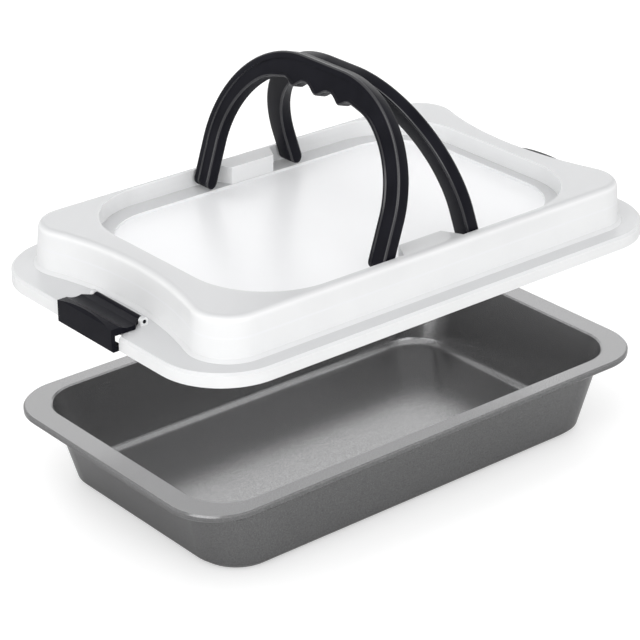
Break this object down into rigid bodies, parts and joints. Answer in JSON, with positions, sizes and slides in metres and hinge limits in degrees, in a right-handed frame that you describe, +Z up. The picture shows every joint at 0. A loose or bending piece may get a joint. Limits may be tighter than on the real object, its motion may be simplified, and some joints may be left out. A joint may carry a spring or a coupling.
{
  "type": "covered cake pan",
  "caption": "Oblong cake pan of dark steel with a clear moulded lid, two folding bail handles and two end clips, lid lifted off.",
  "frame": {"origin": "middle of the pan's underside, on the surface it stands on", "axes": "+X along the length of the pan, +Y across it, +Z up"},
  "size_m": [0.413, 0.248, 0.2932],
  "materials": {
    "pan_steel": "dark grey non-stick coating with a soft sheen",
    "lid_plastic": "milky translucent polypropylene, satin, polished floor",
    "handle_plastic": "black satin moulded plastic",
    "clip_plastic": "black satin moulded plastic"
  },
  "bodies": {
    "pan_and_lid": {"pan": "pan_steel", "lid": "lid_plastic"},
    "handle_left": {"handle_left": "handle_plastic"},
    "handle_right": {"handle_right": "handle_plastic"},
    "clip_left": {"clip_left": "clip_plastic"},
    "clip_right": {"clip_right": "clip_plastic"}
  },
  "joints": [
    {"name": "handle_left_fold", "type": "hinge", "parent": "pan_and_lid", "child": "handle_left", "pos_m": [-0.038, 0, 0.1866], "axis": [0, -1, 0], "range_deg": [0, 106]},
    {"name": "handle_right_fold", "type": "hinge", "parent": "pan_and_lid", "child": "handle_right", "pos_m": [0.038, 0, 0.1866], "axis": [0, 1, 0], "range_deg": [0, 106]},
    {"name": "clip_left_lift", "type": "hinge", "parent": "pan_and_lid", "child": "clip_left", "pos_m": [-0.1795, 0, 0.1649], "axis": [0, 1, 0], "range_deg": [0, 95]},
    {"name": "clip_right_lift", "type": "hinge", "parent": "pan_and_lid", "child": "clip_right", "pos_m": [0.1795, 0, 0.1649], "axis": [0, -1, 0], "range_deg": [0, 95]}
  ]
}
